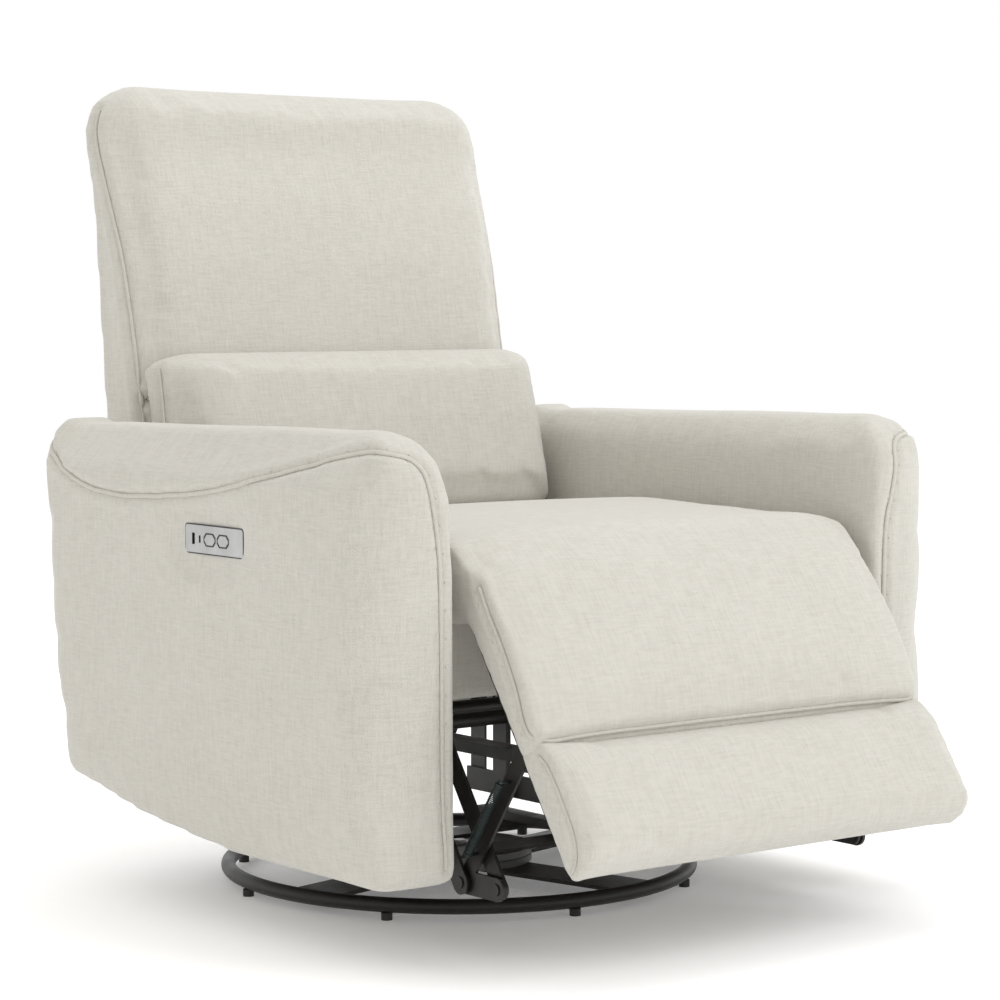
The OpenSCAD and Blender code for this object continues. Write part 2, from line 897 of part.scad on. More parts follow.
function back_cushion_points() =
    let (rear = shift(back_rear_points(), -shell_t - back_frame_t))
    concat(
        [[239, 386], [256, 520], [283, 690], [304, 800], [326, 880], [350, 950]],
        arc([398, 1006], 42, 162, 60, 8),
        [[421, 1036], [409, 1001], [393.5, 932], [375, 932]],
        reversed([rear[0] + [1.5, 14], rear[1], rear[2]])
    );

module back_cushion() {
    placed() color("#dcd8ce") difference() {
        intersection() {
            across(-back_half_w, back_half_w) polygon(back_cushion_points());
            along(150, 600) back_outline();
        }
        both_sides() translate([inner_x - 2, 230, 380]) cube([strap_t + 4, 110, 65]);
    }
}

module lumbar_pillow() {
    placed() color("#dcd8ce") across(-cushion_half_w + 2, cushion_half_w - 2) polygon(concat(
        arc([174, 506], 22, 262, 190, 4),
        arc([228, 668], 22, 170, 80, 5),
        [[278, 672], [271, 640], [252, 520], [243, 492]]
    ));
}

base_ring();
base_cross();
base_feet();
swivel_lower_race();
swivel_balls();
swivel_bolt();
swivel_upper_race();
glider_side_rails();
glider_cross_bars();
glider_uprights();
hanger_top_pins();
front_hangers();
rear_hangers();
chassis_rails();
chassis_risers();
hanger_low_pins();
front_cross_tube();
rear_cross_tube();
right_mechanism_plate();
left_mechanism_plate();
mechanism_pins();
legrest_hinge_plates();
seat_side_rails();
seat_end_rails();
seat_front_rail();
seat_springs();
seat_cushion();
arm_straps();
right_arm();
left_arm();
right_arm_panel();
left_arm_panel();
rear_panel();
rear_posts();
power_inlet();
control_box();
control_bezel();
control_plate();
usb_ports();
button_rings();
button_open();
button_close();
actuator_housing();
actuator_motor();
actuator_rail();
drive_carriage();
torque_tube();
lower_links();
front_links();
couplers();
legrest_springs();
legrest_brackets();
legrest_board();
legrest_upper_pad();
legrest_lower_pad();
back_brackets();
back_frame();
back_shell();
back_cushion();
lumbar_pillow();
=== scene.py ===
"""Glider nursery chair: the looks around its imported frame, in metres and in the frame's own axes."""

import json
import math

import bmesh
import bpy
import numpy as np
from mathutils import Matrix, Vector, noise
from mathutils.bvhtree import BVHTree


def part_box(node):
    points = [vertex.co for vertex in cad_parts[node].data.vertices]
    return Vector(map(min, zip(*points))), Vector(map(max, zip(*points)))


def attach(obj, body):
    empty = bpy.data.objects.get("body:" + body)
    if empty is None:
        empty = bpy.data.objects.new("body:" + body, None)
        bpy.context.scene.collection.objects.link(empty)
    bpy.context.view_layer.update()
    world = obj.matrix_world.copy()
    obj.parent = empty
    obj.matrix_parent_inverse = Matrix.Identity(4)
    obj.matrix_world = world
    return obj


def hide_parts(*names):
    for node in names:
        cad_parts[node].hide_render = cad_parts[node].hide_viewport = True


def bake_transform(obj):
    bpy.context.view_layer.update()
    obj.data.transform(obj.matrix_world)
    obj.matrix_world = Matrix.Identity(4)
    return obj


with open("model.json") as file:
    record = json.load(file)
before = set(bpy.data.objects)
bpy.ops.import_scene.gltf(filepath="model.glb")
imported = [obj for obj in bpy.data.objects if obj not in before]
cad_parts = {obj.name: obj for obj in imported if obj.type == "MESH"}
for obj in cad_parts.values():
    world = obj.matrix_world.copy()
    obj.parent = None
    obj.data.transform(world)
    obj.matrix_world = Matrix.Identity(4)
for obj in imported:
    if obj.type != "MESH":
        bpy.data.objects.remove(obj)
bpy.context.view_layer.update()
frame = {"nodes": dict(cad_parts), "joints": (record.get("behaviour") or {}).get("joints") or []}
NODES = frame["nodes"]
SCENE = bpy.context.scene
JOINTS = {j["name"]: j for j in frame["joints"]}
SWIVEL_Y = JOINTS["swivel"]["pos_m"][1]
SIDES = {"right": -1, "left": 1}


def at(x, y, z):
    """A point given in millimetres from where the swivel axis meets the floor."""
    return Vector((x / 1000, y / 1000 + SWIVEL_Y, z / 1000))


def mid_box(node):
    low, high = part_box(node)
    return (low + high) / 2


# ---------------------------------------------------------------- meshes

def new_object(name, mesh):
    obj = bpy.data.objects.new(name, mesh)
    SCENE.collection.objects.link(obj)
    return obj


def mesh_object(name, verts, faces):
    mesh = bpy.data.meshes.new(name)
    mesh.from_pydata([tuple(v) for v in verts], [], faces)
    mesh.update()
    return new_object(name, mesh)


def joined_copy(name, node_names, mirrored=False):
    """One new object made of copies of some CAD nodes' meshes."""
    bm = bmesh.new()
    for n in node_names:
        bm.from_mesh(NODES[n].data)
    if mirrored:
        for v in bm.verts:
            v.co.x = -v.co.x
        bmesh.ops.reverse_faces(bm, faces=bm.faces)
    mesh = bpy.data.meshes.new(name)
    bm.to_mesh(mesh)
    bm.free()
    mesh.materials.clear()
    mesh.materials.append(FABRIC)
    return new_object(name, mesh)


def apply_modifiers(obj):
    graph = bpy.context.evaluated_depsgraph_get()
    old = obj.data
    obj.data = bpy.data.meshes.new_from_object(obj.evaluated_get(graph))
    obj.modifiers.clear()
    bpy.data.meshes.remove(old)


def remesh(obj, voxel):
    m = obj.modifiers.new("Remesh", "REMESH")
    m.mode = "VOXEL"
    m.voxel_size = voxel
    apply_modifiers(obj)


def relax(obj, rounds, strength=0.5):
    m = obj.modifiers.new("Smooth", "SMOOTH")
    m.iterations = rounds
    m.factor = strength
    apply_modifiers(obj)


def subdivide(obj):
    m = obj.modifiers.new("Subdivision", "SUBSURF")
    m.levels = m.render_levels = 1
    apply_modifiers(obj)


def smooth_shade(obj):
    obj.data.polygons.foreach_set("use_smooth", [True] * len(obj.data.polygons))
    obj.data.update()


def points_of(obj):
    co = np.zeros(len(obj.data.vertices) * 3, np.float32)
    obj.data.vertices.foreach_get("co", co)
    return co.reshape(-1, 3).astype(float)


def normals_of(obj):
    nor = np.zeros(len(obj.data.vertices) * 3, np.float32)
    obj.data.vertex_normals.foreach_get("vector", nor)
    return nor.reshape(-1, 3).astype(float)


def set_points(obj, co):
    obj.data.vertices.foreach_set("co", co.astype(np.float32).ravel())
    obj.data.update()


def shift_along_normal(obj, amount):
    set_points(obj, points_of(obj) + normals_of(obj) * np.reshape(amount, (-1, 1)))


def inflate(obj, cap, pressure=4.0, last_frame=20):
    """Blows the cloth of a closed mesh out and lets no point move further than its own cap.
"""
    rest, limit = points_of(obj), np.asarray(cap, float)
    cloth = obj.modifiers.new("Cloth", "CLOTH")
    cloth.settings.use_pressure = True
    cloth.settings.uniform_pressure_force = pressure
    cloth.settings.effector_weights.gravity = 0
    cloth.settings.quality = 4
    cloth.point_cache.frame_end = last_frame
    for f in range(1, last_frame + 1):
        SCENE.frame_set(f)
    apply_modifiers(obj)
    move = points_of(obj) - rest
    size = np.linalg.norm(move, axis=1)
    share = np.minimum(1, limit / np.maximum(size, 1e-9))
    set_points(obj, rest + move * share[:, None])
    SCENE.frame_set(1)


def puff_up(obj, cap, rounds):
    """Blows a fabric piece out, smooths it and makes its mesh finer."""
    inflate(obj, cap)
    relax(obj, rounds)
    subdivide(obj)


def facing(obj, direction, power):
    """How much each vertex faces a direction, from 0 to 1, raised to a power."""
    return np.clip(normals_of(obj) @ np.array(direction, float), 0, 1) ** power


def ripple(co, size, seed):
    """Smooth noise from -1 to 1 at each point, with lumps of about that size."""
    offset = Vector((seed * 3.7, seed * 1.9, seed * 5.3))
    return np.array([noise.noise(Vector(p) / size + offset) for p in co])


def distance_to(co, path):
    """The distance of each point to the nearest point of a path."""
    path = np.array([tuple(p) for p in path], float)
    out = np.full(len(co), 1e9)
    for p in path:
        out = np.minimum(out, ((co - p) ** 2).sum(axis=1))
    return np.sqrt(out)


# ---------------------------------------------------------------- paths and seams

def curve_through(points, spacing=0.004, parts=24):
    """Evenly spaced points on a smooth open curve through a few given ones."""
    pts = [Vector(p) for p in points]
    count = len(pts)
    fine = []
    for i in range(count - 1):
        a, b, c, d = pts[max(i - 1, 0)], pts[i], pts[i + 1], pts[min(i + 2, count - 1)]
        for k in range(parts):
            t = k / parts
            fine.append(0.5 * (2 * b + (c - a) * t + (2 * a - 5 * b + 4 * c - d) * t * t
                               + (3 * b - a - 3 * c + d) * t ** 3))
    fine.append(pts[-1])
    out, carried = [fine[0]], 0.0
    for p, q in zip(fine, fine[1:]):
        step = (q - p).length
        while carried + step >= spacing:
            p = p + (q - p) * ((spacing - carried) / step)
            step = (q - p).length
            carried = 0.0
            out.append(p)
        carried += step
    return out


def snap(obj, points, lift=0.0, rounds=3):
    """Lays a path on an object's surface, smooths it and gives (point, normal) pairs."""
    tree = BVHTree.FromObject(obj, bpy.context.evaluated_depsgraph_get())
    found = [tree.find_nearest(p)[:2] for p in points]
    place = [p for p, n in found]
    normal = [n for p, n in found]
    count = len(place)
    for _ in range(rounds):
        around = [(max(i - 1, 0), min(i + 1, count - 1)) for i in range(count)]
        place = [(place[a] + 2 * place[i] + place[b]) / 4 for i, (a, b) in enumerate(around)]
        normal = [(normal[a] + 2 * normal[i] + normal[b]).normalized() for i, (a, b) in enumerate(around)]
    return [(p + n * lift, n) for p, n in zip(place, normal)]


def swept(laid, width, height, sides=8):
    """Vertices and faces of a cord of elliptical section along (point, normal) pairs."""
    verts, faces, count = [], [], len(laid)
    for i, (p, n) in enumerate(laid):
        before = laid[i - 1][0] if i else p
        after = laid[i + 1][0] if i < count - 1 else p
        along = (after - before).normalized()
        across = along.cross(n).normalized()
        up = across.cross(along)
        for k in range(sides):
            a = 2 * math.pi * k / sides
            verts.append(p + across * (math.cos(a) * width / 2) + up * (math.sin(a) * height / 2))
    for i in range(count - 1):
        for k in range(sides):
            m = (k + 1) % sides
            faces.append((i * sides + k, i * sides + m, (i + 1) * sides + m, (i + 1) * sides + k))
    faces.append(tuple(range(sides - 1, -1, -1)))
    faces.append(tuple((count - 1) * sides + k for k in range(sides)))
    return verts, faces


def beside(laid, aside):
    """The points of a laid path moved sideways along the surface."""
    last = len(laid) - 1
    moved = []
    for i, (p, n) in enumerate(laid):
        along = laid[min(i + 1, last)][0] - laid[max(i - 1, 0)][0]
        moved.append(p + along.cross(n).normalized() * aside)
    return moved


def stitches(laid, stitch=0.0036, gap=0.0030, thick=0.0005):
    """Vertices and faces of a row of short threads along a path."""
    verts, faces = [], []
    step = (laid[1][0] - laid[0][0]).length
    period = max(2, round((stitch + gap) / step))
    for i in range(1, len(laid) - 1, period):
        p, n = laid[i]
        along = (laid[i + 1][0] - laid[i - 1][0]).normalized()
        across = along.cross(n).normalized()
        ring = [p + across * (thick * s) + n * (thick * u) for s, u in ((-1, 0), (0, 1), (1, 0), (0, -1))]
        base = len(verts)
        verts += [p - along * (stitch / 2), *ring, p + along * (stitch / 2)]
        for k in range(4):
            m = (k + 1) % 4
            faces.append((base, base + 1 + m, base + 1 + k))
            faces.append((base + 5, base + 1 + k, base + 1 + m))
    return verts, faces


def add_part(obj, verts, faces, material):
    """Joins more geometry into an object, with its own material."""
    index = obj.data.materials.find(material.name)
    if index < 0:
        obj.data.materials.append(material)
        index = len(obj.data.materials) - 1
    bm = bmesh.new()
    bm.from_mesh(obj.data)
    made = [bm.verts.new(v) for v in verts]
    for f in faces:
        face = bm.faces.new([made[i] for i in f])
        face.material_index = index
        face.smooth = True
    bm.to_mesh(obj.data)
    bm.free()


def sink(obj, path, depth, width, swell, swell_at=2.2):
    """Pulls the surface in along a path, and lets it swell a little on both sides."""
    d = distance_to(points_of(obj), path)
    move = -depth * np.exp(-(d / width) ** 2)
    move += swell * np.exp(-((d - swell_at * width) / width) ** 2)
    shift_along_normal(obj, move)


def pucker(obj, path, reach, depth, size, seed):
    """Small creases that run off a seam."""
    co = points_of(obj)
    d = distance_to(co, path)
    near = d < reach * 2.5
    move = np.zeros(len(co))
    move[near] = depth * ripple(co[near], size, seed) * np.exp(-(d[near] / reach) ** 2)
    shift_along_normal(obj, move)


def sew(obj, path, *, width, height, depth, groove, swell, creases, seed, stitch_rows=()):
    """A sewn seam: the surface sinks along the path, a cord lies in it and threads run beside it."""
    laid = snap(obj, path)
    sink(obj, [p for p, n in laid], depth, groove, swell)
    pucker(obj, [p for p, n in laid], reach=0.014, depth=creases, size=0.012, seed=seed)
    for aside in stitch_rows:
        add_part(obj, *stitches(snap(obj, beside(laid, aside), lift=0.0002)), THREAD)
    cord = [(p - n * (depth * 0.4), n) for p, n in laid]
    add_part(obj, *swept(cord, width, height), PIPING)


# ---------------------------------------------------------------- materials

def node(tree, kind, settings=None, **inputs):
    """A shader node whose inputs are given by name, as values or as sockets to link."""
    made = tree.nodes.new("ShaderNode" + kind)
    for key, value in (settings or {}).items():
        setattr(made, key, value)
    for key, value in inputs.items():
        socket = made.inputs[key.replace("_", " ")]
        if isinstance(value, bpy.types.NodeSocket):
            tree.links.new(value, socket)
        else:
            socket.default_value = value
    return made


def math_node(tree, operation, a, b=0.0, c=0.0):
    made = tree.nodes.new("ShaderNodeMath")
    made.operation = operation
    for socket, value in zip(made.inputs, (a, b, c)):
        if isinstance(value, bpy.types.NodeSocket):
            tree.links.new(value, socket)
        else:
            socket.default_value = value
    return made.outputs[0]


def ramp(tree, factor, stops):
    made = tree.nodes.new("ShaderNodeValToRGB")
    tree.links.new(factor, made.inputs[0])
    points = made.color_ramp.elements
    while len(points) < len(stops):
        points.new(0.5)
    for point, (where, colour) in zip(points, stops):
        point.position = where
        point.color = (*colour, 1)
    return made.outputs["Color"]


def new_material(name):
    mat = bpy.data.materials.new(name)
    mat.use_nodes = True
    shader = mat.node_tree.nodes["Principled BSDF"]
    return mat, mat.node_tree, shader


def finish_material(tree, shader, colour, roughness, height=None, distance=0.001, strength=1.0):
    tree.links.new(colour, shader.inputs["Base Color"])
    tree.links.new(roughness, shader.inputs["Roughness"])
    if height is not None:
        bump = node(tree, "Bump", Height=height, Distance=distance, Strength=strength)
        tree.links.new(bump.outputs[0], shader.inputs["Normal"])


def cloth_plane(tree):
    """The two directions across a piece's surface, in metres, picked by which way it faces."""
    coords = tree.nodes.new("ShaderNodeTexCoord")
    place = node(tree, "SeparateXYZ", Vector=coords.outputs["Object"]).outputs
    facing_way = node(tree, "SeparateXYZ", Vector=coords.outputs["Normal"]).outputs
    nx, ny, nz = (math_node(tree, "ABSOLUTE", facing_way[i]) for i in range(3))
    side = math_node(tree, "GREATER_THAN", nx, math_node(tree, "MAXIMUM", ny, nz))
    flat = math_node(tree, "GREATER_THAN", nz, math_node(tree, "MAXIMUM", nx, ny))
    across = node(tree, "Mix", Factor=side, A=place[0], B=place[1]).outputs[0]
    up = node(tree, "Mix", Factor=flat, A=place[2], B=place[1]).outputs[0]
    return coords.outputs["Object"], across, up


def threads(tree, along, across, pitch, length, seed):
    """Slubby threads that run along one direction: noise stretched in it."""
    place = node(tree, "CombineXYZ", X=math_node(tree, "MULTIPLY", across, 1 / pitch),
                 Y=math_node(tree, "MULTIPLY", along, 1 / length), Z=seed).outputs[0]
    return node(tree, "TexNoise", Vector=place, Scale=1.0, Detail=2.0, Roughness=0.6).outputs["Fac"]


def woven_fabric(name, light, shade, pitch=0.0013, slub=0.016, bump=0.0009):
    """Plain linen-look weave: crossed slubby threads, soft mottling and fuzz."""
    mat, tree, shader = new_material(name)
    place, across, up = cloth_plane(tree)
    weft = threads(tree, across, up, pitch, slub, 1.3)
    warp = threads(tree, up, across, pitch, slub, 7.9)
    wave_a = math_node(tree, "SINE", math_node(tree, "MULTIPLY", across, 2 * math.pi / (2 * pitch)))
    wave_b = math_node(tree, "SINE", math_node(tree, "MULTIPLY", up, 2 * math.pi / (2 * pitch)))
    over_under = math_node(tree, "MULTIPLY_ADD", math_node(tree, "MULTIPLY", wave_a, wave_b), 0.5, 0.5)
    broad_weft = threads(tree, across, up, pitch * 2.2, slub * 1.8, 3.1)
    broad_warp = threads(tree, up, across, pitch * 2.2, slub * 1.8, 5.7)
    crossed = math_node(tree, "MAXIMUM", weft, warp)
    slubs = math_node(tree, "ADD", broad_weft, broad_warp)
    thread = math_node(tree, "MULTIPLY_ADD", over_under, 0.35, math_node(tree, "MULTIPLY", crossed, 0.9))
    mottle = node(tree, "TexNoise", Vector=place, Scale=9.0, Detail=3.0, Roughness=0.55).outputs["Fac"]
    fuzz = node(tree, "TexNoise", Vector=place, Scale=900.0, Detail=2.0, Roughness=0.7).outputs["Fac"]
    tone = math_node(tree, "MULTIPLY_ADD", mottle, 0.16, math_node(tree, "MULTIPLY", thread, 0.6))
    tone = math_node(tree, "MULTIPLY_ADD", slubs, 0.42, tone)
    colour = ramp(tree, tone, [(0.50, shade), (0.92, light), (1.0, tuple(min(1, c * 1.05) for c in light))])
    height = math_node(tree, "MULTIPLY_ADD", fuzz, 0.3, math_node(tree, "MULTIPLY_ADD", slubs, 0.5, thread))
    rough = math_node(tree, "MULTIPLY_ADD", fuzz, 0.12, 0.84)
    finish_material(tree, shader, colour, rough, height, distance=bump, strength=0.55)
    shader.inputs["Sheen Weight"].default_value = 0.25
    shader.inputs["Sheen Roughness"].default_value = 0.6
    shader.inputs["Specular IOR Level"].default_value = 0.25
    return mat


def twisted_thread(name, colour_a, colour_b):
    """Sewing thread: light and dark strands twisted round each other."""
    mat, tree, shader = new_material(name)
    place = tree.nodes.new("ShaderNodeTexCoord").outputs["Object"]
    strand = node(tree, "TexWave", {"wave_type": "BANDS", "bands_direction": "DIAGONAL"}, Vector=place,
                  Scale=420.0, Distortion=2.0, Detail=1.0).outputs["Fac"]
    rough = math_node(tree, "MULTIPLY_ADD", strand, 0.15, 0.65)
    colour = ramp(tree, strand, [(0.2, colour_a), (0.8, colour_b)])
    finish_material(tree, shader, colour, rough, strand, distance=0.0003)
    shader.inputs["Sheen Weight"].default_value = 0.2
    return mat


def coated_steel(name, dark, highlight_tone, roughness, metallic=0.0):
    """Powder-coated or bare steel: fine orange peel, smudges, and a painted highlight lightening its edges
    and high spots.
    """
    mat, tree, shader = new_material(name)
    place = tree.nodes.new("ShaderNodeTexCoord").outputs["Object"]
    peel = node(tree, "TexNoise", Vector=place, Scale=700.0, Detail=2.0, Roughness=0.5).outputs["Fac"]
    smudge = node(tree, "TexNoise", Vector=place, Scale=26.0, Detail=5.0, Roughness=0.65).outputs["Fac"]
    edge = tree.nodes.new("ShaderNodeNewGeometry").outputs["Pointiness"]
    # Painted highlight: edges and high spots (pointiness) are lightened toward the highlight tone, mixed
    # with random smudge tone.
    edge_highlight_and_smudge = math_node(tree, "MULTIPLY_ADD", edge, 1.2, math_node(tree, "MULTIPLY", smudge, 0.35))
    colour = ramp(tree, edge_highlight_and_smudge, [(0.55, dark), (0.95, highlight_tone)])
    rough = math_node(tree, "MULTIPLY_ADD", smudge, 0.3, roughness - 0.15)
    finish_material(tree, shader, colour, rough, peel, distance=0.0003, strength=0.5)
    shader.inputs["Metallic"].default_value = metallic
    return mat


def moulded_plastic(name, colour_a, colour_b, roughness):
    """Moulded or painted plastic: a fine grain and a slightly uneven tone."""
    mat, tree, shader = new_material(name)
    place = tree.nodes.new("ShaderNodeTexCoord").outputs["Object"]
    fine = node(tree, "TexNoise", Vector=place, Scale=1500.0, Detail=2.0, Roughness=0.6).outputs["Fac"]
    broad = node(tree, "TexNoise", Vector=place, Scale=30.0, Detail=3.0, Roughness=0.6).outputs["Fac"]
    colour = ramp(tree, broad, [(0.35, colour_a), (0.75, colour_b)])
    rough = math_node(tree, "MULTIPLY_ADD", broad, 0.15, roughness - 0.07)
    finish_material(tree, shader, colour, rough, fine, distance=0.00015, strength=0.6)
    return mat


def sawn_wood(name, light, dark):
    """Raw board with its grain along Y, and pores."""
    mat, tree, shader = new_material(name)
    place = tree.nodes.new("ShaderNodeTexCoord").outputs["Object"]
    long_grain = node(tree, "Mapping", Vector=place, Scale=(60.0, 4.0, 60.0)).outputs[0]
    rings = node(tree, "TexNoise", Vector=long_grain, Scale=1.0, Detail=6.0, Roughness=0.6,
                 Distortion=0.6).outputs["Fac"]
    pores = node(tree, "TexNoise", Vector=long_grain, Scale=9.0, Detail=3.0, Roughness=0.7).outputs["Fac"]
    tone = math_node(tree, "MULTIPLY_ADD", pores, 0.3, math_node(tree, "MULTIPLY", rings, 0.8))
    rough = math_node(tree, "MULTIPLY_ADD", pores, 0.2, 0.6)
    colour = ramp(tree, tone, [(0.35, dark), (0.7, light)])
    finish_material(tree, shader, colour, rough, tone, distance=0.0004)
    return mat


IVORY = (0.570, 0.552, 0.503)
IVORY_SHADE = (0.445, 0.427, 0.375)
FABRIC = woven_fabric("ivory_weave", IVORY, IVORY_SHADE)
PIPING = woven_fabric("ivory_piping", (0.56, 0.54, 0.485), (0.41, 0.39, 0.335), pitch=0.0009, slub=0.004,
                      bump=0.0005)
THREAD = twisted_thread("sewing_thread", (0.50, 0.46, 0.39), (0.70, 0.66, 0.58))
# In each coated_steel finish, the second colour is the painted highlight tone put on edges and high spots.
FINISHES = {
    "black_steel": coated_steel("powder_black", (0.0016, 0.0015, 0.0014), (0.010, 0.0085, 0.0075), 0.44),
    "race_steel": coated_steel("race_grey", (0.05, 0.05, 0.052), (0.16, 0.16, 0.16), 0.40, 0.7),
    "bright_steel": coated_steel("zinc_steel", (0.36, 0.36, 0.37), (0.62, 0.62, 0.62), 0.36, 0.95),
    "spring_steel": coated_steel("oiled_spring", (0.030, 0.045, 0.045), (0.14, 0.17, 0.165), 0.33, 0.8),
    "foot_plastic": moulded_plastic("foot_black", (0.014, 0.014, 0.014), (0.028, 0.028, 0.028), 0.62),
    "wood": sawn_wood("raw_ply", (0.60, 0.42, 0.23), (0.34, 0.20, 0.09)),
    "black_plastic": moulded_plastic("dark_plastic", (0.016, 0.016, 0.017), (0.035, 0.035, 0.037), 0.45),
    "silver_plastic": moulded_plastic("silver_paint", (0.42, 0.425, 0.43), (0.52, 0.525, 0.53), 0.38),
    "fabric": FABRIC,
}


def finish_cad_nodes():
    """Every CAD node gets the worked-out material of its slot in place of the plain one."""
    for cad in NODES.values():
        for slot in cad.material_slots:
            slot.material = FINISHES[slot.material.name.split(".")[0]]


def settle_piece(obj, body, node_names):
    """Smooth-shades a fabric piece, attaches it to its body if one is given, and hides the CAD nodes it
    replaces.
    """
    smooth_shade(obj)
    if body:
        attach(obj, body)
    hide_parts(*node_names)


# ---------------------------------------------------------------- arms

ARM_INNER = 0.3275              # metres from the chair's middle
ARM_OUTER = 447 / 1000 + 0.006  # the CAD width and what the fabric stands proud of it
# Where the scoop seam runs on the outer face, from behind to the front: (y, z) in millimetres.
SCOOP = [(268, 551), (254, 545), (210, 529), (161, 518), (89, 514), (0, 518), (-86, 527), (-161, 538),
         (-238, 551), (-295, 567), (-354, 581), (-386, 588), (-408, 592)]


def arm_seams(side):
    """One seam from behind along the scoop, over the front corner and down the front edge."""
    rear = [(335, 298, 588), (360, 303, 584), (400, 303, 580), (425, 300, 574), (440, 290, 563)]
    front = [(404, -419, 592), (386, -425, 588), (376, -432, 579), (370.5, -437, 566),
             (367, -441, 543), (360, -441, 510), (353, -440, 476), (350, -439, 424), (348.5, -440, 307),
             (348, -440, 193), (348, -438, 108)]
    front_turn = (-408, -354, -295, -200), (418, 426, 434, 444)
    scoop = [(np.interp(y, *front_turn), y, z) for y, z in SCOOP]
    return [at(side * x, y, z) for x, y, z in rear + scoop + front]


def squaring(a, b, power):
    """The factor that takes a point on a round corner out to a squarer one, tighter at a high power."""
    reach = np.hypot(a, b) + 1e-9
    return (np.abs(a / reach) ** power + np.abs(b / reach) ** power) ** (-1 / power)


def square_rear(obj, side):
    """The outer face runs straight down and back to a tight rear corner, fuller than its CAD solid."""
    core, widest = 0.385, 0.4468        # inside the core nothing moves
    corner_x, corner_y = 0.402, 0.270   # the upright rear corner starts here
    top_y, top_z = 0.262, 0.560         # and the rear top edge here
    co = points_of(obj)
    x, y, z = side * co[:, 0], co[:, 1] - SWIVEL_Y, co[:, 2]
    full = np.interp(z, (0.09, 0.18, 0.33, 0.47), (0.439, 0.444, 0.4465, 0.4465))
    drawn = np.interp(z, (0.075, 0.18, 0.33, 0.47), (0.404, 0.430, 0.443, 0.446))
    outward = np.clip((x - core) / (drawn - core), 0, 1.1)
    x = np.where(x > core, core + outward * (full - core), x)
    dx, dy = x - corner_x, y - corner_y
    corner = (dx > 0) & (dy > 0)
    square = squaring(dx, dy, 7)
    x = np.where(corner, corner_x + dx * square, x)
    y = np.where(corner, corner_y + dy * square, y)
    rear_line = np.interp(z, (0.15, 0.26, 0.37, 0.50, 0.565), (0.262, 0.284, 0.297, 0.310, 0.313))
    y = np.where(corner, np.minimum(y, rear_line), y)
    dy, dz = y - top_y, z - top_z
    upper = (x > 0.34) & (dy > 0) & (dz > 0)
    square = squaring(dy, dz, 5)
    y = np.where(upper, top_y + dy * square, y)
    z = np.where(upper, top_z + dz * square, z)
    set_points(obj, np.stack([side * np.minimum(x, widest), y + SWIVEL_Y, z], axis=1))


def make_arm(word):
    side = SIDES[word]
    obj = joined_copy(f"{word}_arm_cover", ["left_arm", "left_arm_panel"], mirrored=side < 0)
    remesh(obj, voxel=0.0075)
    relax(obj, rounds=6)
    square_rear(obj, side)
    relax(obj, rounds=3)
    puff_up(obj, arm_cap(points_of(obj), side), rounds=3)
    set_points(obj, keep_inside(points_of(obj), side))
    shift_along_normal(obj, puff_above_scoop(obj, side))
    sew(obj, curve_through(arm_seams(side)), width=0.0062, height=0.0036, depth=0.0028, groove=0.0055,
        swell=0.001, creases=0.0004, seed=3 + side, stitch_rows=(-0.0055, 0.0055))
    if word == "right":
        cut_plate_pocket(obj)
    settle_piece(obj, "seat", [f"{word}_arm", f"{word}_arm_panel"])


def arm_cap(co, side):
    """How far an arm's fabric may swell: less inside and low down, hardly at all round the plate."""
    swell, least = 0.009, 0.002
    inner = np.clip((0.345 - np.abs(co[:, 0])) / 0.015, 0, 1)
    low = np.clip((0.2 - co[:, 2]) / 0.1, 0, 1)
    cap = swell * (1 - inner) * (1 - 0.7 * low) + least
    if side < 0:
        plate = mid_box("control_plate")
        near_plate = np.exp(-(((co[:, 1] - plate.y) / 0.11) ** 2 + ((co[:, 2] - plate.z) / 0.06) ** 2) ** 2)
        cap *= 1 - near_plate * (co[:, 0] < -0.42)
    return cap


def keep_inside(co, side):
    """The arm's inner face stays clear of the seat, and its outer face close to the CAD width."""
    co[:, 0] = side * np.clip(side * co[:, 0], ARM_INNER, ARM_OUTER)
    return co


def puff_above_scoop(obj, side):
    """The pad over the arm stands a little proud of the panel under the scoop seam."""
    proud, rise = 0.0022, 0.012
    co = points_of(obj)
    ys = np.array([p[0] for p in SCOOP][::-1]) / 1000 + SWIVEL_Y
    zs = np.array([p[1] for p in SCOOP][::-1]) / 1000
    line = np.interp(co[:, 1], ys, zs)
    over = np.clip((co[:, 2] - line) / rise, 0, 1)
    outer = np.clip((side * co[:, 0] - 0.40) / 0.03, 0, 1)
    return proud * over * outer


def cut_plate_pocket(obj):
    """The fabric is open behind the control plate, a little inside the plate's edge."""
    low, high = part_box("control_bezel")
    rim, clear, depth = 0.004, 0.01, 0.026
    mesh = bpy.data.meshes.new("pocket")
    bm = bmesh.new()
    bmesh.ops.create_cube(bm, size=1.0)
    for v in bm.verts:
        v.co.x = low.x - clear if v.co.x < 0 else low.x + depth
        v.co.y = low.y + rim if v.co.y < 0 else high.y - rim
        v.co.z = low.z + rim if v.co.z < 0 else high.z - rim
    bm.to_mesh(mesh)
    bm.free()
    cutter = new_object("pocket_cutter", mesh)
    m = obj.modifiers.new("Pocket", "BOOLEAN")
    m.operation = "DIFFERENCE"
    m.object = cutter
    m.solver = "EXACT"
    apply_modifiers(obj)
    bpy.data.objects.remove(cutter)


# ---------------------------------------------------------------- seat and legrest

HINGE = at(0, -375, 430)    # the legrest's pivot line
LEAN = math.radians(34)     # the legrest's slope from the vertical, as raised in the photo
PAD_HALF = 304              # half the legrest's width, in millimetres
PAD_LIMIT = 0.309           # and how far from the middle its fabric may swell, in metres
CREASE = 0.230              # where the two pads meet, in metres down the legrest
BOARD_W = (5, 26)           # from the board's face to inside the pad, in millimetres out


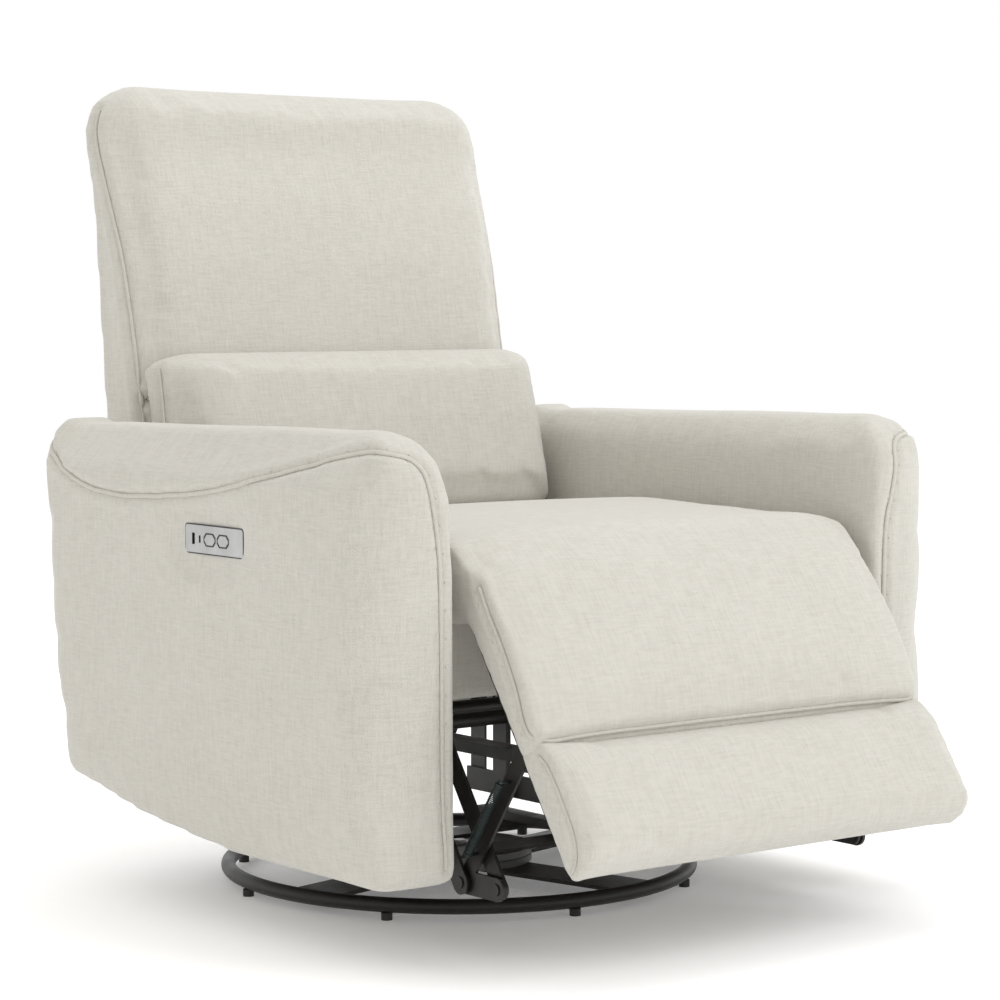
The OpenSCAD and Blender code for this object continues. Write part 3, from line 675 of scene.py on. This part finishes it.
def on_legrest(x, u, w):
    """A point u millimetres down the legrest from its hinge and w out from it."""
    return HINGE + Vector((x, -u * math.sin(LEAN) - w * math.cos(LEAN),
                           -u * math.cos(LEAN) + w * math.sin(LEAN))) / 1000


def add_prism(obj, outline, half_width):
    """Joins a solid with a given outline in Y and Z to an object, before it is remeshed."""
    count = len(outline)
    verts = [Vector((x, p.y, p.z)) for x in (-half_width, half_width) for p in outline]
    faces = [tuple(range(count - 1, -1, -1)), tuple(range(count, 2 * count))]
    faces += [(i, (i + 1) % count, (i + 1) % count + count, i + count) for i in range(count)]
    add_part(obj, verts, faces, FABRIC)


def add_block(obj, u, w):
    """Joins a block to a legrest cover, so that its fabric wraps the board behind the pad."""
    verts = [on_legrest(x, a, b) for x in (-PAD_HALF, PAD_HALF) for a in u for b in w]
    faces = [(0, 1, 3, 2), (4, 6, 7, 5), (0, 4, 5, 1), (2, 3, 7, 6), (0, 2, 6, 4), (1, 5, 7, 3)]
    add_part(obj, verts, faces, FABRIC)


def down_legrest(co):
    """How far down the legrest each point is, from its hinge, in metres."""
    away = co - np.array(HINGE)
    return -away[:, 1] * math.sin(LEAN) - away[:, 2] * math.cos(LEAN)


def close_crease(obj, side):
    """Moves the edge of a legrest pad over the gap between the two pads."""
    reach, step, hinge_clear = 0.03, 0.0075, 0.15
    co = points_of(obj)
    u = down_legrest(co)
    near = np.clip(1 - np.abs(u - CREASE) / reach, 0, 1) * (np.abs(u) > hinge_clear)
    move = side * step * near
    co[:, 1] -= move * math.sin(LEAN)
    co[:, 2] -= move * math.cos(LEAN)
    set_points(obj, co)


def shape_seat(obj):
    """The seat fills the space between the arms and narrows to the legrest's width in front."""
    widen, limit_more = 0.022, 0.0145   # between the arms, against in front of them
    let_down, top_z = 0.007, 0.44       # the seat's top lies this much lower
    co = points_of(obj)
    back = np.clip((co[:, 1] - HINGE.y) / 0.06, 0, 1)
    co[:, 0] *= 1 + widen * back
    limit = PAD_LIMIT + limit_more * back
    co[:, 0] = np.clip(co[:, 0], -limit, limit)
    co[:, 2] -= let_down * back * np.clip((co[:, 2] - top_z) / 0.03, 0, 1)
    set_points(obj, co)
    close_crease(obj, 1)


def make_seat_cover():
    """Seat and upper legrest share one cover, which wraps round the legrest's hinge."""
    names = ["seat_cushion", "legrest_upper_pad"]
    obj = joined_copy("seat_and_legrest_cover", names)
    add_block(obj, u=(40, 231), w=BOARD_W)
    roll_radius, turns = 0.047, np.linspace(0, 2 * math.pi, 25)[:-1]
    roll = [HINGE + Vector((0, math.cos(a), math.sin(a))) * roll_radius for a in turns]
    add_prism(obj, roll, half_width=PAD_HALF / 1000)
    remesh(obj, voxel=0.007)
    relax(obj, rounds=7)
    up = facing(obj, (0, -0.4, 0.9), power=0.5)
    front = facing(obj, (0, -0.83, 0.55), power=0.5)
    co = points_of(obj)
    centre = np.clip(1.0 - (np.abs(co[:, 0]) / 0.30) ** 4, 0, 1)
    cap = 0.002 + 0.006 * np.maximum(up, front) * (0.35 + 0.65 * centre)
    puff_up(obj, cap, rounds=3)
    shape_seat(obj)
    corner = ((0, 30, 50), (0, 60, 48), (0, 110, 48), (0, 160, 44), (0, 196, 36), (6, 216, 36),
              (24, 224, 40))
    edge = [on_legrest(-PAD_HALF + inward, u, w) for inward, u, w in corner]
    edge += [on_legrest(x, 225, 43) for x in range(-240, 241, 60)]
    edge += [on_legrest(PAD_HALF - inward, u, w) for inward, u, w in corner[::-1]]
    sew(obj, curve_through(edge), width=0.0050, height=0.0044, depth=0.003, groove=0.006,
        swell=0.0012, creases=0.0005, seed=9, stitch_rows=(0.0085,))
    settle_piece(obj, None, names)
    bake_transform(obj)


def make_lower_pad():
    """The pad that folds out under the upper one, with its board wrapped in behind it."""
    names = ["legrest_lower_pad"]
    obj = joined_copy("legrest_lower_cover", names)
    add_block(obj, u=(229, 385), w=BOARD_W)
    remesh(obj, voxel=0.006)
    relax(obj, rounds=6)
    out = facing(obj, (0, -math.cos(LEAN), math.sin(LEAN)), power=0.5)
    puff_up(obj, 0.002 + 0.006 * out, rounds=2)
    co = points_of(obj)
    co[:, 0] = np.clip(co[:, 0], -PAD_LIMIT, PAD_LIMIT)
    set_points(obj, co)
    close_crease(obj, -1)
    edge = ((238, 36), (262, 46), (310, 48), (350, 44), (372, 28), (376, 10))
    for side in (-1, 1):
        path = curve_through([on_legrest(side * PAD_HALF, u, w) for u, w in edge])
        sew(obj, path, width=0.0036, height=0.0030, depth=0.002, groove=0.005,
            swell=0.0008, creases=0.0005, seed=12 + side)
    settle_piece(obj, "legrest", names)


def make_front_rail():
    """The fabric over the rail under the seat's front."""
    obj = joined_copy("front_rail_cover", ["seat_front_rail"])
    remesh(obj, voxel=0.005)
    relax(obj, rounds=4)
    settle_piece(obj, "seat", ["seat_front_rail"])


# ---------------------------------------------------------------- backrest

def roll_ends(obj, start, reach, back, deep, drop):
    """Rolls a cushion's front face back towards its two ends, and rounds its upper corners off."""
    co = points_of(obj)
    low, high = co[:, 2].min(), co[:, 2].max()
    levels = np.linspace(low, high, 40)
    step = levels[1] - levels[0]
    front = [co[np.abs(co[:, 2] - level) < step, 1].min() for level in levels]
    ahead = np.clip(1 - (co[:, 1] - np.interp(co[:, 2], levels, front)) / deep, 0, 1)
    out = np.clip((np.abs(co[:, 0]) - start) / reach, 0, 1.15) ** 2
    rise = (co[:, 2] - low) / (high - low) * 2 - 1
    co[:, 1] += back * out * ahead
    co[:, 2] -= drop * out ** 1.5 * np.clip(rise, 0, 1) ** 3
    set_points(obj, co)
    relax(obj, rounds=3)


def make_back():
    """One cover over the back's cushion, shell and frame, filled out behind to a flat rear panel."""
    names = ["back_cushion", "back_shell", "back_frame"]
    obj = joined_copy("back_cover", names)
    rear = [(358, 410), (372, 600), (398, 880), (418, 985)]
    filler = [at(0, y - 8, z) for y, z in rear] + [at(0, y - 42, z) for y, z in rear[::-1]]
    add_prism(obj, filler, half_width=0.315)
    remesh(obj, voxel=0.0075)
    relax(obj, rounds=9)
    co = points_of(obj)
    front = facing(obj, (0, -1, 0.15), power=0.6)
    top = facing(obj, (0, 0, 1), power=0.6)
    high = np.clip((co[:, 2] - 0.42) / 0.08, 0, 1)
    puff_up(obj, 0.003 + (0.012 * front + 0.003 * top) * high, rounds=3)
    roll_ends(obj, start=0.235, reach=0.080, back=0.020, deep=0.075, drop=0.0)
    for path in back_seams():
        sew(obj, path, width=0.0046, height=0.0042, depth=0.003, groove=0.007,
            swell=0.0014, creases=0.0005, seed=21)
    settle_piece(obj, "backrest", names)


def back_seams():
    """The front pad's piped edge up both sides, the rear panel's edge, and a seam low on the pad."""
    side = [(306, 262, 520), (308, 288, 620), (309, 300, 690), (314, 323, 800), (319, 347, 870),
            (322, 368, 920), (318, 388, 970), (298, 404, 1012)]
    seams = [curve_through([at(s * x, y, z) for x, y, z in side]) for s in (-1, 1)]
    rear = [(300, 380, 420), (302, 384, 560), (302, 396, 720), (302, 410, 860), (300, 424, 950),
            (288, 436, 992), (250, 442, 1016), (180, 444, 1024)]
    outline = [at(-x, y, z) for x, y, z in rear] + [at(x, y, z) for x, y, z in rear[::-1]]
    seams.append(curve_through(outline))
    seams.append(curve_through([at(x, 282, 624) for x in range(-306, 307, 51)]))
    return seams


def make_pillow():
    """The lumbar pillow: crowned in front, its ends rolled back, its bottom let down onto the seat."""
    names = ["lumbar_pillow"]
    obj = joined_copy("lumbar_pillow_cover", names)
    remesh(obj, voxel=0.006)
    relax(obj, rounds=8)
    out = facing(obj, (0, -1, 0.25), power=0.5)
    puff_up(obj, 0.002 + 0.009 * out, rounds=2)
    wider, half_width, let_down, narrower = 1.012, 0.3225, 0.021, 0.03
    co = points_of(obj)
    co[:, 0] = np.clip(co[:, 0] * wider, -half_width, half_width)
    low = np.clip((0.60 - co[:, 2]) / 0.10, 0, 1)
    co[:, 2] -= let_down * low
    set_points(obj, co)
    roll_ends(obj, start=0.225, reach=0.090, back=0.046, deep=0.110, drop=0.018)
    co = points_of(obj)
    behind = np.clip((co[:, 1] - SWIVEL_Y - 0.225) / 0.03, 0, 1)
    co[:, 0] *= 1 - narrower * behind
    set_points(obj, co)
    edge = [(308, 222, 496), (312, 214, 540), (310, 230, 610), (307, 244, 652), (298, 254, 668)]
    for side in (-1, 1):
        path = curve_through([at(side * x, y, z) for x, y, z in edge])
        sew(obj, path, width=0.0042, height=0.0038, depth=0.0025, groove=0.006,
            swell=0.001, creases=0.0006, seed=31 + side)
    settle_piece(obj, "backrest", names)


def make_rear_covers():
    """The fabric panel low at the back and the two posts beside it."""
    for name, names in (("rear_panel_cover", ["rear_panel"]), ("rear_post_covers", ["rear_posts"])):
        obj = joined_copy(name, names)
        remesh(obj, voxel=0.004)
        relax(obj, rounds=4)
        settle_piece(obj, "seat", names)


# ---------------------------------------------------------------- springs

def helix(a, b, radius, turns, steps_a_turn=14):
    """Points of a coil spring from a to b."""
    along = (b - a).normalized()
    one = along.cross(Vector((1, 0, 0))).normalized()
    two = along.cross(one)
    steps = turns * steps_a_turn
    points = []
    for i in range(steps + 1):
        angle = 2 * math.pi * turns * i / steps
        points.append(a + (b - a) * (i / steps) + (one * math.cos(angle) + two * math.sin(angle)) * radius)
    return points, along


def make_springs():
    """Close-wound helper springs of real wire beside the couplers, with an eye at each end."""
    knee, top = at(0, -388, 84.6), at(0, -498, 247.6)
    run = (top - knee).normalized()
    wire, eye_width, spring_x = 0.0016, 0.0042, 0.302
    starts, ends = 0.044, 0.154     # metres up from the knee
    verts, faces = [], []

    def gather(part_verts, part_faces):
        base = len(verts)
        verts.extend(part_verts)
        faces.extend(tuple(i + base for i in face) for face in part_faces)

    for side in (-1, 1):
        offset = Vector((side * spring_x, 0, 0))
        first, last = knee + run * starts + offset, knee + run * ends + offset
        coil, along = helix(first, last, radius=0.0048, turns=44)
        laid = [(coil[0], (coil[0] - first).normalized())]
        laid += [(p, p - (first + along * (p - first).dot(along))) for p in coil[1:]]
        gather(*swept([(p, n.normalized()) for p, n in laid], wire, wire, sides=5))
        for end in (first, last):
            eye = [end + Vector((side * x, 0, 0)) for x in (-0.0135, -0.008, -0.003, 0.001)]
            gather(*swept([(p, along) for p in eye], eye_width, eye_width))
    obj = mesh_object("helper_spring_coils", verts, faces)
    obj.data.materials.append(FINISHES["spring_steel"])
    smooth_shade(obj)
    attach(obj, "coupler_pair")
    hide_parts("legrest_springs")


# ---------------------------------------------------------------- room, light and camera

def studio():
    """A plain pale floor, a white room a little warmer and darker towards -X, and soft lights."""
    floor = mesh_object("studio_floor", [(-9, -9, 0), (9, -9, 0), (9, 9, 0), (-9, 9, 0)], [(0, 1, 2, 3)])
    mat, tree, shader = new_material("studio_white")
    place = tree.nodes.new("ShaderNodeTexCoord").outputs["Object"]
    soft = node(tree, "TexNoise", Vector=place, Scale=0.4, Detail=1.0).outputs["Fac"]
    colour = ramp(tree, soft, [(0.3, (0.955, 0.955, 0.955)), (0.7, (0.975, 0.975, 0.975))])
    finish_material(tree, shader, colour, math_node(tree, "MULTIPLY_ADD", soft, 0.1, 0.85))
    shader.inputs["Emission Color"].default_value = (1, 1, 1, 1)
    shader.inputs["Emission Strength"].default_value = 0.16
    shader.inputs["Specular IOR Level"].default_value = 0.1
    floor.data.materials.append(mat)
    world = bpy.data.worlds.new("studio")
    world.use_nodes = True
    tree = world.node_tree
    sky = tree.nodes.new("ShaderNodeTexCoord").outputs["Generated"]
    toward_x = node(tree, "SeparateXYZ", Vector=sky).outputs[0]
    share = node(tree, "MapRange", Value=toward_x, **{"From Min": -0.9, "From Max": 0.3}).outputs[0]
    colour = ramp(tree, share, [(0.0, (0.86, 0.845, 0.81)), (1.0, (1.0, 1.0, 1.0))])
    tree.links.new(colour, tree.nodes["Background"].inputs[0])
    SCENE.world = world
    SCENE.view_settings.view_transform = "Standard"
    aim = Vector((0, 0, 0.55))
    for name, where, size, watts in (("key", (1.6, -3.0, 3.0), 2.2, 36), ("top", (0.6, 0.4, 3.6), 2.4, 22),
                                     ("rear", (0.8, 3.2, 2.6), 2.6, 12)):
        data = bpy.data.lights.new(name, "AREA")
        data.size = size
        data.energy = watts
        lamp = bpy.data.objects.new(name, data)
        lamp.location = where
        lamp.rotation_euler = (aim - Vector(where)).to_track_quat("-Z", "Y").to_euler()
        SCENE.collection.objects.link(lamp)


def photo_camera():
    """The photograph's viewing angle: from the sitter's right front, a little above seat height."""
    data = bpy.data.cameras.new("camera")
    data.sensor_width = 36
    data.lens = 108
    data.shift_x = -0.0022
    data.shift_y = 0.0066
    looks_down, heading = 4.065, -37.998
    camera = bpy.data.objects.new("camera", data)
    camera.location = (-2.3613, -3.016, 0.7625)
    camera.rotation_euler = (math.radians(90 - looks_down), 0, math.radians(heading))
    SCENE.collection.objects.link(camera)
    SCENE.camera = camera


photo_camera()
studio()
finish_cad_nodes()
make_seat_cover()
make_lower_pad()
make_front_rail()
make_back()
make_pillow()
make_rear_covers()
make_springs()
for arm in SIDES:
    make_arm(arm)
